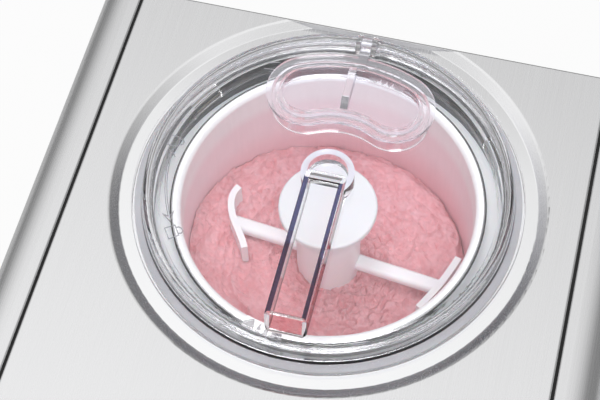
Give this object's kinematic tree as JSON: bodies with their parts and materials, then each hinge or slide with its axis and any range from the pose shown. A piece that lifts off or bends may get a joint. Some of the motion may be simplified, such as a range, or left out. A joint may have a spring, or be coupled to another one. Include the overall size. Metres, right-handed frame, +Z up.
{
  "type": "ice cream maker",
  "caption": "Self-cooling ice cream maker with a brushed steel body, lift-out bowl, driven mixing paddle, clear twist-on lid with bar handle and refill flap, and a front control panel.",
  "frame": {"origin": "on the floor, under the middle of the body", "axes": "+X to the right seen from the front, +Y to the back where the bowl is, +Z up"},
  "size_m": [0.2916, 0.425, 0.26],
  "materials": {
    "brushed_plate": "brushed",
    "brushed_side": "brushed",
    "ring_steel": "polished",
    "zinc_steel": "zinc plated",
    "black_plastic": "fine grain",
    "black_gloss": "gloss",
    "seam_rubber": "matte",
    "foot_rubber": "matte",
    "white_plastic": "satin",
    "bowl_aluminium": "satin",
    "well_aluminium": "mill",
    "clear_plastic": "clear gloss",
    "seal_silicone": "satin",
    "foam": "foamed",
    "gear_nylon": "moulded",
    "bronze": "sintered",
    "painted_steel": "satin paint",
    "iron": "cast",
    "motor_steel": "plated",
    "copper": "drawn",
    "board": "lacquered",
    "component_black": "moulded",
    "window_glass": "polished"
  },
  "bodies": {
    "housing": {"base_plate": "black_plastic", "feet": "foot_rubber", "corner_posts": "well_aluminium", "left_side_panel": "brushed_side", "right_side_panel": "brushed_side", "seam_strips": "seam_rubber", "front_panel": "brushed_side", "back_panel": "black_plastic", "cord_gland": "black_plastic", "power_switch_frame": "black_plastic", "top_plate": "brushed_plate", "opening_ring": "ring_steel", "ledge_collar": "white_plastic", "cooling_well": "well_aluminium", "shaft_seal": "seam_rubber", "evaporator_jacket": "well_aluminium", "insulation_block": "foam", "shelf": "zinc_steel", "shelf_legs": "zinc_steel", "shaft_bushings": "bronze", "gear_pin": "zinc_steel", "gearbox_housing": "gear_nylon", "gearbox_cover": "gear_nylon", "gearbox_screws": "zinc_steel", "drive_motor": "motor_steel", "compressor_shell": "painted_steel", "compressor_block": "iron", "compressor_grommets": "seam_rubber", "compressor_bolts": "zinc_steel", "compressor_terminal_cover": "black_plastic", "condenser_fins": "well_aluminium", "condenser_tube": "copper", "fan_shroud": "black_plastic", "fan_motor": "motor_steel", "filter_drier": "painted_steel", "refrigerant_lines": "copper", "control_panel": "black_plastic", "display_window": "window_glass", "tact_switches": "component_black", "control_board": "board", "display_module": "component_black", "encoder": "component_black", "housing_screws": "zinc_steel"},
    "bowl": {"bowl": "bowl_aluminium"},
    "paddle": {"mixing_paddle": "white_plastic"},
    "seal": {"lid_seal": "seal_silicone"},
    "lid": {"lid": "clear_plastic", "flap_pin": "zinc_steel"},
    "flap": {"refill_flap": "clear_plastic"},
    "drive": {"drive_shaft": "zinc_steel", "output_gear": "gear_nylon"},
    "intermediate": {"intermediate_gear": "gear_nylon"},
    "pinion": {"motor_pinion": "gear_nylon"},
    "fan": {"fan_blade": "black_plastic"},
    "knob": {"control_knob": "black_gloss"},
    "power_key": {"power_button": "black_gloss"},
    "start_key": {"start_button": "black_gloss"},
    "cool_key": {"cool_button": "black_gloss"},
    "rocker": {"power_rocker": "black_gloss"}
  },
  "joints": [
    {"name": "bowl_lift", "type": "slide", "parent": "housing", "child": "bowl", "axis": [0, 0, 1], "range_m": [0, 0.15]},
    {"name": "paddle_spin", "type": "hinge", "parent": "bowl", "child": "paddle", "pos_m": [0, 0.1146, 0.166], "axis": [0, 0, 1], "continuous": true},
    {"name": "lid_lift", "type": "slide", "parent": "bowl", "child": "seal", "axis": [0, 0, 1], "range_m": [0, 0.08]},
    {"name": "lid_turn", "type": "hinge", "parent": "seal", "child": "lid", "pos_m": [0, 0.1146, 0.236], "axis": [0, 0, 1], "range_deg": [0, 20]},
    {"name": "flap_hinge", "type": "hinge", "parent": "lid", "child": "flap", "pos_m": [0.001, 0.1941, 0.2516], "axis": [-1, 0, 0], "range_deg": [0, 100]},
    {"name": "drive_spin", "type": "hinge", "parent": "housing", "child": "drive", "pos_m": [0, 0.1146, 0.078], "axis": [0, 0, 1], "continuous": true},
    {"name": "intermediate_spin", "type": "hinge", "parent": "housing", "child": "intermediate", "pos_m": [0, 0.0651, 0.078], "axis": [0, 0, 1], "continuous": true},
    {"name": "pinion_spin", "type": "hinge", "parent": "housing", "child": "pinion", "pos_m": [0, 0.0276, 0.078], "axis": [0, 0, 1], "continuous": true},
    {"name": "fan_spin", "type": "hinge", "parent": "housing", "child": "fan", "pos_m": [-0.08, -0.0914, 0.091], "axis": [1, 0, 0], "continuous": true},
    {"name": "knob_turn", "type": "hinge", "parent": "housing", "child": "knob", "pos_m": [0.058, -0.1675, 0.242], "axis": [0, 0, 1], "range_deg": [-135, 135]},
    {"name": "power_press", "type": "slide", "parent": "housing", "child": "power_key", "axis": [0, 0, -1], "range_m": [0, 0.0012], "stiffness_N_per_m": 600, "springref_m": -0.0006},
    {"name": "start_press", "type": "slide", "parent": "housing", "child": "start_key", "axis": [0, 0, -1], "range_m": [0, 0.0012], "stiffness_N_per_m": 600, "springref_m": -0.0006},
    {"name": "cool_press", "type": "slide", "parent": "housing", "child": "cool_key", "axis": [0, 0, -1], "range_m": [0, 0.0012], "stiffness_N_per_m": 600, "springref_m": -0.0006},
    {"name": "rocker_tilt", "type": "hinge", "parent": "housing", "child": "rocker", "pos_m": [0.06, 0.205, 0.055], "axis": [0, 0, 1], "range_deg": [0, 14]}
  ],
  "couplings": [
    {"joint": "drive_spin", "follows": "paddle_spin", "ratio": 1},
    {"joint": "intermediate_spin", "follows": "paddle_spin", "ratio": -2.6667},
    {"joint": "pinion_spin", "follows": "paddle_spin", "ratio": 6.2222}
  ]
}
